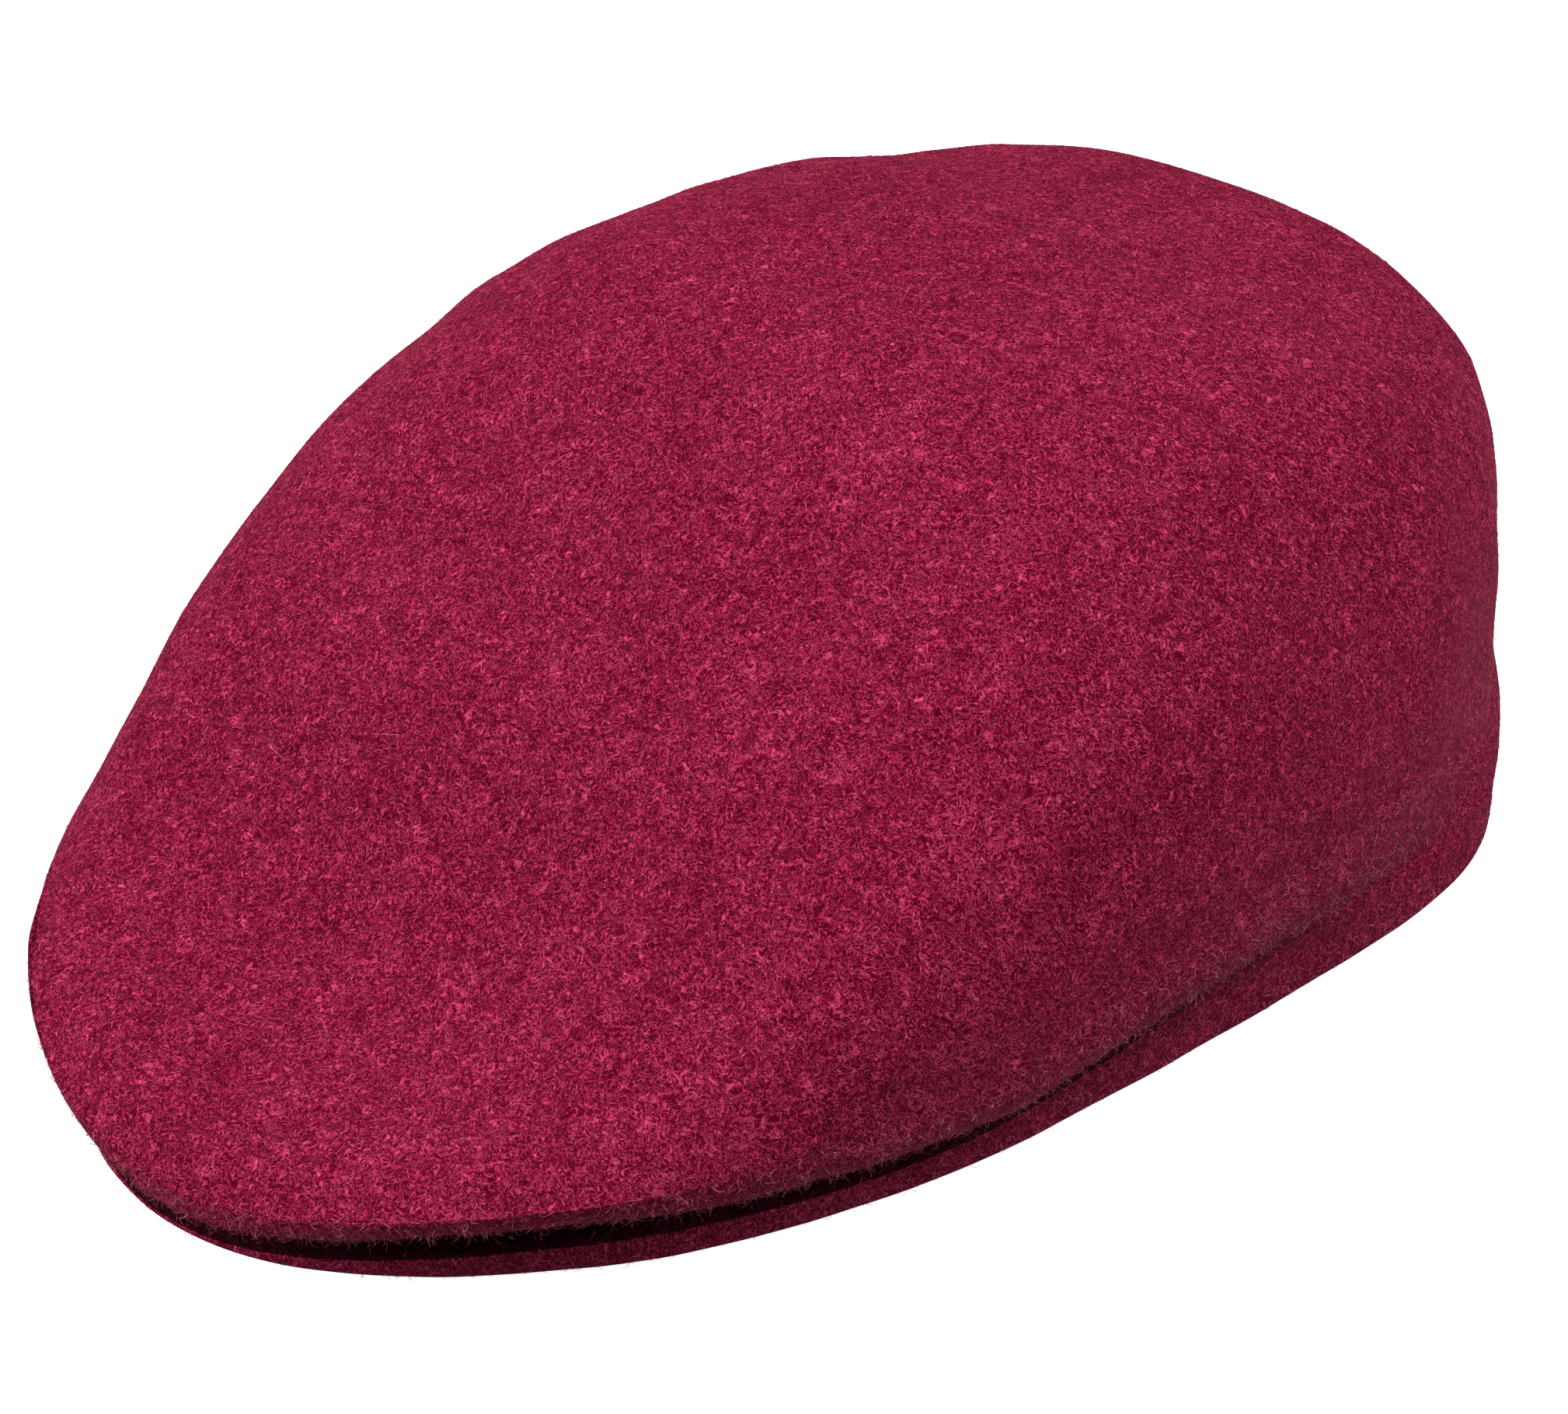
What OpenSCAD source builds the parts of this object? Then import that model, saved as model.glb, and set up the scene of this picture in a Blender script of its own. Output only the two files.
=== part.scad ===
// Seamless wool felt flat cap with a short covered bill.
// Frame: +Z up, the bill points to -Y, the wearer's left is +X.
// The origin is the centre of the head opening, in the plane that the cap's lower rim rests on.

/* [Head opening] */
// Inside length of the sweatband, forehead to nape
head_l = 198; // [180:1:216]
// Inside width of the sweatband
head_w = 178; // [164:1:196]
// How far in front of the opening's centre the cap is widest
widest_y = 10; // [0:1:20]
// Squareness of the opening's back half, where 2 is an ellipse
nape_power = 3.2; // [2.4:0.05:3.6]

/* [Felt body] */
// Thickness of the felt
felt_t = 3; // [2:0.1:4]
// Highest point of the crown above the rim
crown_h = 108; // [90:1:125]
// How much lower the crown is at its sides than along its middle
crown_camber = 7; // [0:1:15]
// Height of the crown's top where it reaches the bill's tip
brow_h = 19; // [14:1:24]
// How far behind the opening's centre the slope of the crown reaches full height
crest_y = 8; // [-30:1:40]
// Height of the crown's widest line at the back, at the sides and at the bill
roll_z_back = 40; // [34:1:50]
roll_z_side = 30; // [26:1:36]
roll_z_front = 13; // [11:0.5:16]
// Height of the plain strip below the crown's overhang at the back, the sides and the bill
strip_back = 30; // [24:1:32]
strip_side = 15; // [10:1:20]
strip_front = 6; // [5:0.5:7]
// How far the crown stands out over the strip at the sides and at the bill
overhang_side = 11; // [6:0.5:14]
overhang_front = 5; // [4:0.5:7]
// How square the shoulder is at the back, the sides and the front, where 2 is an ellipse
shoulder_back = 4.6; // [3:0.1:6]
shoulder_side = 3; // [2.4:0.1:4]
shoulder_front = 5; // [4:0.1:6]

/* [Bill] */
// Length of the bill, from the sweatband's front to its edge
bill_l = 72; // [50:1:90]
// Roundness of the bill's outline, where 2 is an ellipse
bill_power = 2.1; // [1.9:0.05:2.4]
// Thickness of the bill's stiffener
stiffener_t = 1.6; // [1:0.1:2]
// How far the stiffener stays inside the edge of the bill's underlay
stiffener_margin = 1.5; // [1:0.5:4]
// How far in front of the widest line the underlay's two wings end
wing_start = 26; // [20:1:40]

/* [Sweatband] */
// Height of the ribbon
ribbon_h = 28; // [22:1:34]
// Thickness of the ribbon
ribbon_t = 0.8; // [0.6:0.1:1.2]
// Height of the ribbon's lower edge above the rim
ribbon_z = 1.5; // [1:0.5:4]

/* [Labels] */
// Width, height and lower edge of the blank woven label at the nape
woven_w = 44; // [30:1:56]
woven_h = 17; // [12:1:20]
woven_z = 7; // [6:1:8]
// Width, height and lower edge of the blank size tab beside it
tab_w = 12; // [8:1:16]
tab_h = 12; // [8:1:16]
tab_z = 8; // [7:1:10]
// Space between the woven label and the size tab
tab_space = 5; // [3:1:10]
// Width of the care label's flap
flap_w = 28; // [20:1:34]
// Height of the flap's lower edge above the sweatband's stitches
flap_clear = 1.5; // [1:0.5:8]
// Height of the care label's sewn hem
hem_h = 3; // [2.5:0.5:4]
// Thickness of the labels
label_t = 0.4; // [0.3:0.05:0.5]

/* [Stitching] */
// Radius of the sewing thread
thread_r = 0.35; // [0.25:0.05:0.4]
// Visible length of one stitch
stitch_l = 3; // [2:0.5:4]
// Height of the sweatband's stitch line above the ribbon's lower edge
stitch_z = 2; // [1.5:0.5:3]
// Distance of the bill's stitch line from the edge of the underlay
bill_stitch_inset = 4; // [3:0.5:8]

/* [Fits] */
// Space between the felt and the ribbon
ribbon_gap = 0.3; // [0.2:0.05:0.5]
// Space between the felt body and the bill's layers, and between those layers
seam_gap = 0.2; // [0.15:0.05:0.3]
// Space between a label and the ribbon that it is sewn to
label_gap = 0.1; // [0.05:0.05:0.2]
// Space between the care label's hem and the line that its flap turns on
fold_gap = 0.4; // [0.35:0.05:0.6]
// Space between the flat flap and the middle of the curved ribbon behind it
flap_stand = 1.2; // [1.2:0.1:1.5]

/* [Hidden] */

felt_colour = [0.48, 0.10, 0.22];
ribbon_colour = [0.09, 0.05, 0.07];
thread_colour = [0.36, 0.07, 0.16];
label_colour = [0.88, 0.86, 0.83];
stiffener_colour = [0.12, 0.12, 0.13];

around = 72;                      // steps round the cap
turn = 360 / around;
wall = ribbon_t + ribbon_gap + felt_t;   // from the head to the outside of the strip
head_back = head_l / 2 + widest_y;
head_front = head_l / 2 - widest_y;
bill_front = head_front + bill_l;
roll_steps = 7;
crown_rings = [0.99, 0.97, 0.94, 0.89, 0.82, 0.72, 0.6, 0.45, 0.3, 0.15];

// Plan outlines. The angle t is 0 at the nape, 90 at the wearer's left and 180 at the bill's tip,
// and every outline is centred on the cap's widest line.
function oval(t, half_w, back, front, back_power, front_power) =
  let (
    half_l = cos(t) > 0 ? back : front,
    n = cos(t) > 0 ? back_power : front_power,
    r = pow(pow(abs(sin(t)) / half_w, n) + pow(abs(cos(t)) / half_l, n), -1 / n)
  )
  r * [sin(t), cos(t)];
function moved_out(p, d) = p * (1 + d / norm(p));
function head_at(t, d = 0) = moved_out(oval(t, head_w / 2, head_back, head_front, nape_power, 2), d);
function rim_at(t, d = 0) =
  moved_out(
    cos(t) > 0
      ? head_at(t, wall)
      : oval(t, head_w / 2 + wall, head_back, bill_front, nape_power, bill_power),
    d
  );
angles = [for (i = [0 : around - 1]) i * turn];
function head_ring(d) = [for (t = angles) head_at(t, d)];
function rim_ring(d) = [for (t = angles) rim_at(t, d)];

// A size that changes smoothly from back to side to front
function eased(t, back, side, front) =
  side + (cos(t) > 0 ? back - side : front - side) * pow(cos(t), 2);

// How far the crown stands out over the strip: a ledge round the bill that dies away behind the sides
function overhang(t) =
  cos(t) > 0
    ? overhang_side * pow(sin(t), 16)
    : overhang_side + (overhang_front - overhang_side) * pow(cos(t), 8);

// Height of the crown's top over the plan point p, before it falls away at the shoulder
slope_start = -bill_front;
slope_end = widest_y + crest_y;
function slope(y) = max(0, min(1, (y - slope_start) / (slope_end - slope_start)));
function top_z(p) =
  brow_h + (crown_h - brow_h) * (1 - cos(180 * slope(p.y))) / 2
  - crown_camber * pow(p.x / (head_w / 2 + wall + overhang_side), 2);

// The felt's outer profile at the angle t as [radius, height], from the rim up to near the apex:
// the plain strip, the roll out to the widest line, then the crown.
function felt_profile(t) =
  let (
    r_strip = norm(rim_at(t)),
    out = overhang(t),
    z_roll = eased(t, roll_z_back, roll_z_side, roll_z_front),
    z_strip = eased(t, strip_back, strip_side, strip_front),
    n = eased(t, shoulder_back, shoulder_side, shoulder_front),
    r_roll = r_strip + out,
    way = rim_at(t) / r_strip,
    ledge = min(1, out / overhang_front),
    rise = z_roll - z_strip
  )
  concat(
    [[r_strip, 0], [r_strip, z_strip / 2]],
    [for (k = [0 : roll_steps])
      let (a = 90 * k / roll_steps)
      [
        r_strip + out * ((1 - ledge) * (1 - cos(2 * a)) / 2 + ledge * sin(a)),
        z_strip + rise * ((1 - ledge) * k / roll_steps + ledge * (1 - cos(a)))
      ]
    ],
    [for (rho = crown_rings)
      let (r = r_roll * rho)
      [r, z_roll + (top_z(way * r) - z_roll) * pow(1 - pow(rho, n), 1 / n)]
    ]
  );
levels = 2 + roll_steps + 1 + len(crown_rings);
apex_z = top_z([0, 0]);

// The same profile moved in by the felt's thickness
function inner_profile(outer) = [
  for (i = [0 : levels - 1])
    let (
      before = outer[max(0, i - 1)],
      after = i < levels - 1 ? outer[i + 1] : [0, apex_z],
      step = after - before,
      inward = [-step.y, step.x] / norm(step),
      moved = outer[i] + felt_t * inward
    )
    i == 0 ? [moved.x, 0] : moved
];
function ring_points(profiles, level) = [
  for (i = [0 : around - 1])
    let (p = rim_at(angles[i]), r = profiles[i][level].x)
    [p.x / norm(p) * r, p.y / norm(p) * r, profiles[i][level].y]
];

module felt_body() {
  outer = [for (t = angles) felt_profile(t)];
  inner = [for (p = outer) inner_profile(p)];
  points = concat(
    [for (level = [0 : levels - 1]) each ring_points(outer, level)],
    [for (level = [0 : levels - 1]) each ring_points(inner, level)],
    [[0, 0, apex_z], [0, 0, apex_z - felt_t]]
  );
  inside = levels * around;
  apex = 2 * inside;
  top = inside - around;
  faces = concat(
    [for (level = [0 : levels - 2], i = [0 : around - 1])
      let (a = level * around + i, b = level * around + (i + 1) % around)
      each [[a, a + around, b], [b, a + around, b + around]]
    ],
    [for (level = [0 : levels - 2], i = [0 : around - 1])
      let (a = inside + level * around + i, b = inside + level * around + (i + 1) % around)
      each [[a, b, a + around], [b, b + around, a + around]]
    ],
    [for (i = [0 : around - 1])
      let (j = (i + 1) % around)
      each [
        [i, j, inside + i], [j, inside + j, inside + i],
        [top + i, apex, top + j], [inside + top + i, inside + top + j, apex + 1]
      ]
    ]
  );
  color(felt_colour)
    translate([0, -widest_y, 0])
      polyhedron(points, faces);
}

// A flat layer of the bill: from the head opening out to the felt strip, ending in two wings
module bill_layer(z, thickness, margin) {
  translate([0, -widest_y, z])
    linear_extrude(thickness)
      difference() {
        polygon(rim_ring(-felt_t - seam_gap - margin));
        polygon(head_ring(ribbon_t + ribbon_gap + margin));
        translate([-head_w, -wing_start - margin])
          square([2 * head_w, head_l]);
      }
}
module bill_underlay() {
  color(felt_colour)
    bill_layer(0, felt_t, 0);
}
module bill_stiffener() {
  color(stiffener_colour)
    bill_layer(felt_t + seam_gap, stiffener_t, stiffener_margin);
}

// Stitches at the height z along a closed ring of plan points, one on each side of the ring
// whose middle lies between the corners low and high
module stitches(ring, z, low = [-head_w, -head_l], high = [head_w, head_l]) {
  color(thread_colour)
    translate([0, -widest_y, z])
      for (i = [0 : around - 1]) {
        a = ring[i];
        b = ring[(i + 1) % around];
        middle = (a + b) / 2;
        if (min(middle - low) > 0 && min(high - middle) > 0)
          translate([middle.x, middle.y, 0])
            rotate([0, 90, atan2(b.y - a.y, b.x - a.x)])
              cylinder(h = stitch_l, r = thread_r, center = true, $fn = 24);
      }
}
module bill_edge_thread() {
  stitches(
    rim_ring(-felt_t - seam_gap - bill_stitch_inset), thread_r,
    high = [head_w, -wing_start - bill_stitch_inset]
  );
}

// A layer that follows the head opening, standing in from it by d
module band(d, thickness, z, height) {
  translate([0, -widest_y, z])
    linear_extrude(height)
      difference() {
        polygon(head_ring(thickness - d));
        polygon(head_ring(-d));
      }
}
module sweatband() {
  color(ribbon_colour)
    band(0, ribbon_t, ribbon_z, ribbon_h);
}
module sweatband_thread() {
  stitches(head_ring(-thread_r), ribbon_z + stitch_z);
}

// The line on which thread lies just clear of the face of a sewn label
label_face_ring = head_ring(-label_gap - label_t - 1.1 * thread_r);

// A piece of label tape sewn to the ribbon at the nape, between x1 and x2
module nape_label(x1, x2, z, height) {
  intersection() {
    band(label_gap + label_t, label_t, z, height);
    translate([x1, 0, 0])
      cube([x2 - x1, head_l, ribbon_h + ribbon_z]);
  }
}
module woven_label() {
  color(label_colour)
    nape_label(-woven_w / 2, woven_w / 2, woven_z, woven_h);
}
module woven_label_thread() {
  reach = (woven_w - stitch_l) / 2;
  for (z = [woven_z + thread_r, woven_z + woven_h - thread_r])
    stitches(label_face_ring, z, [-reach, 0], [reach, head_l]);
}
module size_tab() {
  start = woven_w / 2 + tab_space;
  color(label_colour)
    nape_label(start, start + tab_w, tab_z, tab_h);
}

// The care label hangs at the wearer's left: a hem sewn to the ribbon and a flap that lifts on it
hem_z = ribbon_z + ribbon_h - hem_h;
hinge_z = hem_z - fold_gap;
flap_top = hinge_z - label_t / 2;
flap_low = ribbon_z + stitch_z + thread_r + flap_clear;
flap_x = head_w / 2 - flap_stand - label_t / 2;
module care_label_hem() {
  color(label_colour)
    intersection() {
      band(label_gap + label_t, label_t, hem_z, hem_h);
      translate([0, -widest_y - flap_w / 2, 0])
        cube([head_w, flap_w, ribbon_z + ribbon_h]);
    }
}
module care_label_flap() {
  color(label_colour)
    translate([flap_x - label_t / 2, -widest_y - flap_w / 2, flap_low])
      cube([label_t, flap_w, flap_top - flap_low]);
}
module care_label_thread() {
  reach = (flap_w - stitch_l) / 2;
  stitches(label_face_ring, hem_z + hem_h / 2, [0, -reach], [head_w, reach]);
}

felt_body();
bill_underlay();
bill_stiffener();
bill_edge_thread();
sweatband();
sweatband_thread();
woven_label();
woven_label_thread();
size_tab();
care_label_hem();
care_label_flap();
care_label_thread();
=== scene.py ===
"""A seamless wool felt flat cap on a pale floor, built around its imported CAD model.

Shape values are in millimetres. Lamp and camera distances and shader values are in Blender's own units.
"""
import math

import bpy
import numpy as np
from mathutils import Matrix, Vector


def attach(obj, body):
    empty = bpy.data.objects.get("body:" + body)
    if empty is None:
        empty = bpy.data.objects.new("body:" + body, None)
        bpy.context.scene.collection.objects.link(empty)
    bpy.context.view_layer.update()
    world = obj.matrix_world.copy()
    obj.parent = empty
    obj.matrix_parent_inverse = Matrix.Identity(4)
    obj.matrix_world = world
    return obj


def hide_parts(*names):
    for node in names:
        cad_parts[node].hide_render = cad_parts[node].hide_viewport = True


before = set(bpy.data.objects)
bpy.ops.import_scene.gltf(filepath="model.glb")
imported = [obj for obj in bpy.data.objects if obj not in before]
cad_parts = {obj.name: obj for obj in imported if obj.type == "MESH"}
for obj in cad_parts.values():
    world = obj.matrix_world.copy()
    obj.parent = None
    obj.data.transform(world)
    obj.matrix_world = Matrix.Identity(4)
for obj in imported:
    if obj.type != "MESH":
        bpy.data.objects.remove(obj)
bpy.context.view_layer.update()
MM = 0.001
RIGHT_ANGLE = math.pi / 2
scene = bpy.context.scene

# ---------------------------------------------------------------- camera, floor and light

AZIMUTH, ELEVATION = math.radians(42.1), math.radians(31.4)
LEVEL_BACK = Vector((math.sin(AZIMUTH), -math.cos(AZIMUTH), 0))
BACK = LEVEL_BACK * math.cos(ELEVATION) + Vector((0, 0, math.sin(ELEVATION)))
RIGHT = Vector((math.cos(AZIMUTH), math.sin(AZIMUTH), 0))
UP = BACK.cross(RIGHT)
AIM = (Vector((0, -33.2, 45)) + 3.5 * RIGHT - 11.3 * UP) * MM
CAMERA_DISTANCE = 0.6833


def facing(location, target):
    """The rotation of a camera or lamp at location that points it at target."""
    return (Vector(target) - Vector(location)).to_track_quat("-Z", "Y").to_euler()


camera = bpy.data.objects.new("camera", bpy.data.cameras.new("camera"))
scene.collection.objects.link(camera)
camera.data.lens = 90.3
camera.data.sensor_width = 36
camera.data.clip_start = 0.01
camera.location = AIM + CAMERA_DISTANCE * BACK
camera.rotation_euler = facing(camera.location, AIM)
scene.camera = camera
scene.view_settings.view_transform = "Standard"

FRONT = Vector((BACK.x, BACK.y, 0)).normalized()
LAMP_CENTRE = Vector((0, -0.03, 0.05))
LAMP_DISTANCE, LAMP_SIZE = 1.35, 0.7


def lamp(name, right, front, up, energy):
    """A square lamp aimed at the cap from a direction given towards the picture's right, front and top."""
    data = bpy.data.lights.new(name, "AREA")
    data.size, data.energy = LAMP_SIZE, energy
    item = bpy.data.objects.new(name, data)
    scene.collection.objects.link(item)
    direction = right * RIGHT + front * FRONT + Vector((0, 0, up))
    item.location = LAMP_CENTRE + direction.normalized() * LAMP_DISTANCE
    item.rotation_euler = facing(item.location, LAMP_CENTRE)


lamp("left", -0.893, 0.157, 0.423, 19)
lamp("rear", -0.542, -0.455, 0.707, 5)
lamp("right", 0.853, 0.150, 0.5, 5)
lamp("front", 0.35, 0.94, 0.2, 3)
lamp("high", 0.492, 0.087, 0.866, 13.5)

world = bpy.data.worlds.new("studio")
scene.world = world
world.use_nodes = True
world.node_tree.nodes["Background"].inputs["Color"].default_value = (1, 1, 1, 1)
world.node_tree.nodes["Background"].inputs["Strength"].default_value = 0.06

# ---------------------------------------------------------------- node helpers


class Shader:
    """A material's node tree, with short calls for adding nodes to it."""

    def __init__(self, name):
        self.material = bpy.data.materials.new(name)
        self.material.use_nodes = True
        self.tree = self.material.node_tree
        self.surface = self.tree.nodes["Principled BSDF"]
        self.place = self.add("ShaderNodeTexCoord").outputs["Object"]

    def add(self, kind, settings=None, **inputs):
        node = self.tree.nodes.new(kind)
        for key, value in (settings or {}).items():
            setattr(node, key, value)
        for key, value in inputs.items():
            self.put(node.inputs[int(key[1:]) if key[1:].isdigit() else key.replace("_", " ")], value)
        return node

    def put(self, socket, value):
        if isinstance(value, bpy.types.NodeSocket):
            self.tree.links.new(value, socket)
        else:
            socket.default_value = value

    def finish(self, **values):
        for key, value in values.items():
            self.put(self.surface.inputs[key.replace("_", " ")], value)
        return self.material

    def maths(self, operation, a, b=0.0, c=0.0, clamp=False):
        settings = {"operation": operation, "use_clamp": clamp}
        return self.add("ShaderNodeMath", settings, i0=a, i1=b, i2=c).outputs[0]

    def moved(self, vector, offset=(0, 0, 0), scale=(1, 1, 1), turn=(0, 0, 0)):
        node = self.add("ShaderNodeMapping", Vector=vector, Location=offset, Rotation=turn, Scale=scale)
        return node.outputs[0]

    def noise(self, vector, scale, detail=2.0, roughness=0.5, distortion=0.0):
        return self.add("ShaderNodeTexNoise", Vector=vector, Scale=scale, Detail=detail,
                        Roughness=roughness, Distortion=distortion).outputs["Fac"]

    def wave(self, direction, scale, distortion):
        node = self.add("ShaderNodeTexWave", {"bands_direction": direction}, Vector=self.place, Scale=scale,
                        Distortion=distortion)
        return node.outputs["Fac"]

    def mix(self, a, share, b, other_share):
        """A weighted sum of two heights or masks."""
        return self.maths("ADD", self.maths("MULTIPLY", a, share), self.maths("MULTIPLY", b, other_share))

    def ramp(self, value, stops):
        node = self.add("ShaderNodeValToRGB", Fac=value)
        elements = node.color_ramp.elements
        while len(elements) < len(stops):
            elements.new(0.5)
        for element, (position, colour) in zip(elements, stops):
            element.position = position
            element.color = (*colour, 1)
        return node.outputs["Color"]

    def strands(self, vector, scale, width, distortion=1.5, detail=1.0):
        """Thin curly lines, 1 along the middle of each and 0 between them."""
        level = self.noise(vector, scale, detail, 0.5, distortion)
        away = self.maths("ABSOLUTE", self.maths("SUBTRACT", level, 0.5))
        return self.maths("SUBTRACT", 1.0, self.maths("DIVIDE", away, width), clamp=True)

    def bump(self, height, distance, strength=1.0, under=None):
        node = self.add("ShaderNodeBump", Height=height, Distance=distance, Strength=strength)
        if under is not None:
            self.put(node.inputs["Normal"], under)
        return node.outputs["Normal"]


def felt_material(name, shade=1.0):
    """Milled wool: a deep crimson ground with short curly pink fibres lying on it."""
    s = Shader(name)
    drift = s.add("ShaderNodeTexNoise", Vector=s.place, Scale=160.0, Detail=2.0).outputs["Color"]
    drift = s.add("ShaderNodeVectorMath", {"operation": "MULTIPLY_ADD"}, i0=drift, i1=(0.003, 0.003, 0.003),
                  i2=s.place).outputs[0]
    long_strands = s.strands(drift, 620.0, 0.085, 1.6)
    mid_strands = s.strands(s.moved(drift, (0.31, 0.17, 0.05)), 900.0, 0.10, 1.8)
    fine_strands = s.strands(s.moved(drift, (0.11, 0.57, 0.23)), 1500.0, 0.15, 1.2)
    patches = s.noise(s.place, 330.0, 3.0, 0.6)
    lit = s.maths("MULTIPLY", s.maths("MAXIMUM", long_strands, s.maths("MULTIPLY", mid_strands, 0.85)),
                  s.maths("MULTIPLY_ADD", patches, 0.6, 0.55))
    lit = s.maths("ADD", lit, s.maths("MULTIPLY", fine_strands, 0.3))
    broad = s.noise(s.moved(s.place, (0.2, 0.4, 0.1)), 14.0, 3.0, 0.55)
    grain = s.noise(s.moved(s.place, scale=(1, 0.12, 1), turn=(0, 0, 0.6)), 90.0, 2.0)
    tone = s.maths("ADD", s.maths("MULTIPLY", lit, 0.62), s.mix(broad, 0.09, grain, 0.13))
    stops = [(0.08, (0.055, 0.0, 0.006)), (0.30, (0.15, 0.0, 0.018)),
             (0.52, (0.33, 0.006, 0.055)), (0.85, (0.86, 0.10, 0.22))]
    colour = s.ramp(tone, [(position, [shade * part for part in tint]) for position, tint in stops])
    height = s.maths("ADD", lit, s.maths("MULTIPLY", patches, 0.8))
    return s.finish(Base_Color=colour, Normal=s.bump(height, 0.0005, 0.85), Roughness=0.8,
                    Specular_IOR_Level=0.02, Sheen_Weight=0.02, Sheen_Roughness=0.4,
                    Sheen_Tint=(1.0, 0.4, 0.5, 1))


def fibre_material(name, dark, light):
    """Loose wool fibres, each a little lighter or darker than the next."""
    s = Shader(name)
    colour = s.ramp(s.noise(s.place, 900.0, 2.0), [(0.3, dark), (0.7, light)])
    return s.finish(Base_Color=colour, Roughness=0.55, Specular_IOR_Level=0.05,
                    Sheen_Weight=0.01, Sheen_Roughness=0.4, Sheen_Tint=(1.0, 0.6, 0.7, 1))


def thread_material(name, dark, light):
    """Spun thread, with a diagonal twist."""
    s = Shader(name)
    twist = s.wave("DIAGONAL", 700.0, 2.0)
    tone = s.maths("ADD", s.maths("MULTIPLY", twist, 0.6), s.maths("MULTIPLY", s.noise(s.place, 300.0), 0.4))
    colour = s.ramp(tone, [(0.1, dark), (0.9, light)])
    return s.finish(Base_Color=colour, Roughness=0.6, Normal=s.bump(twist, 0.0001, 0.7), Sheen_Weight=0.05)


def ribbon_material(name):
    """Near-black grosgrain: ribs across the ribbon's height, crossed by a fine weft."""
    s = Shader(name)
    weft = s.add("ShaderNodeTexWave", {"bands_direction": "Z"}, Vector=s.place, Scale=620.0, Distortion=1.2,
                 Detail=1.0).outputs["Fac"]
    wear = s.noise(s.place, 45.0, 4.0, 0.6)
    stops = [(0.2, (0.006, 0.003, 0.005)), (0.85, (0.030, 0.014, 0.020))]
    colour = s.ramp(s.mix(weft, 0.45, wear, 0.55), stops)
    return s.finish(Base_Color=colour, Roughness=0.55, Normal=s.bump(weft, 0.00008, 0.8), Sheen_Weight=0.25,
                    Sheen_Roughness=0.4)


def label_material(name):
    """Off-white satin tape: fine warp lines with faint slubs."""
    s = Shader(name)
    warp = s.wave("X", 900.0, 1.5)
    weft = s.wave("Z", 1100.0, 1.0)
    slub = s.noise(s.moved(s.place, scale=(1, 1, 4)), 260.0, 3.0)
    cloth = s.mix(warp, 0.5, weft, 0.5)
    colour = s.ramp(s.mix(cloth, 0.5, slub, 0.5), [(0.2, (0.58, 0.54, 0.49)), (0.8, (0.80, 0.77, 0.73))])
    return s.finish(Base_Color=colour, Roughness=0.42, Normal=s.bump(cloth, 0.00006, 0.8), Sheen_Weight=0.2)


def board_material(name):
    """Dark moulded board with a pebbled face."""
    s = Shader(name)
    pebble = s.noise(s.place, 900.0, 3.0, 0.6)
    colour = s.ramp(s.noise(s.place, 60.0, 3.0), [(0.3, (0.014, 0.014, 0.016)), (0.7, (0.028, 0.028, 0.031))])
    return s.finish(Base_Color=colour, Roughness=0.7, Normal=s.bump(pebble, 0.0001, 0.6))


def floor_material(name):
    """A pale studio floor that glows a little, so that it stays near white."""
    s = Shader(name)
    colour = s.ramp(s.noise(s.place, 3.0, 2.0), [(0.3, (0.93, 0.93, 0.93)), (0.7, (0.95, 0.95, 0.95))])
    return s.finish(Base_Color=colour, Roughness=0.9, Specular_IOR_Level=0.2, Emission_Color=(1, 1, 1, 1),
                    Emission_Strength=0.85)


FELT = felt_material("wool_felt")
BILL_FELT = felt_material("bill_felt", 0.9)
# Darker copies of the felt, for painted shade in the fold under the roll.
PAINTED_SHADE_LEVELS = (0.6, 0.32, 0.1)
PAINTED_SHADE_FELTS = [felt_material(f"painted_shade_felt_{number}", shade) for number, shade in enumerate(PAINTED_SHADE_LEVELS)]
FUZZ = fibre_material("wool_fibre", (0.17, 0.001, 0.020), (0.80, 0.075, 0.18))
LINT = fibre_material("wool_lint", (0.30, 0.02, 0.06), (0.80, 0.22, 0.30))
THREAD = thread_material("thread", (0.07, 0.004, 0.014), (0.20, 0.016, 0.045))
RIBBON = ribbon_material("ribbon")
LABEL = label_material("label_tape")
BOARD = board_material("bill_board")

# ---------------------------------------------------------------- mesh helpers


def piece(name, points, faces, material, body="cap", replaces=()):
    """A mesh piece from points in millimetres and faces with 3 or 4 corners each, turned to face outwards."""
    points, faces = np.asarray(points, np.float64) * MM, np.asarray(faces, np.int32)
    a, b, c, d = (points[faces[:, k]] for k in (0, 1, 2, -1))
    if (np.cross(a, b) * c + np.cross(a, c) * d).sum() < 0:
        faces = np.ascontiguousarray(faces[:, ::-1])
    mesh = bpy.data.meshes.new(name)
    count, corners = faces.shape
    mesh.vertices.add(len(points))
    mesh.vertices.foreach_set("co", points.astype(np.float32).ravel())
    mesh.loops.add(count * corners)
    mesh.loops.foreach_set("vertex_index", faces.ravel())
    mesh.polygons.add(count)
    mesh.polygons.foreach_set("loop_start", np.arange(0, count * corners, corners, dtype=np.int32))
    mesh.update(calc_edges=True)
    mesh.validate()
    mesh.polygons.foreach_set("use_smooth", np.ones(len(mesh.polygons), bool))
    mesh.materials.append(material)
    item = bpy.data.objects.new(name, mesh)
    scene.collection.objects.link(item)
    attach(item, body)
    if replaces:
        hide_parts(*replaces)
    return item


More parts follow.
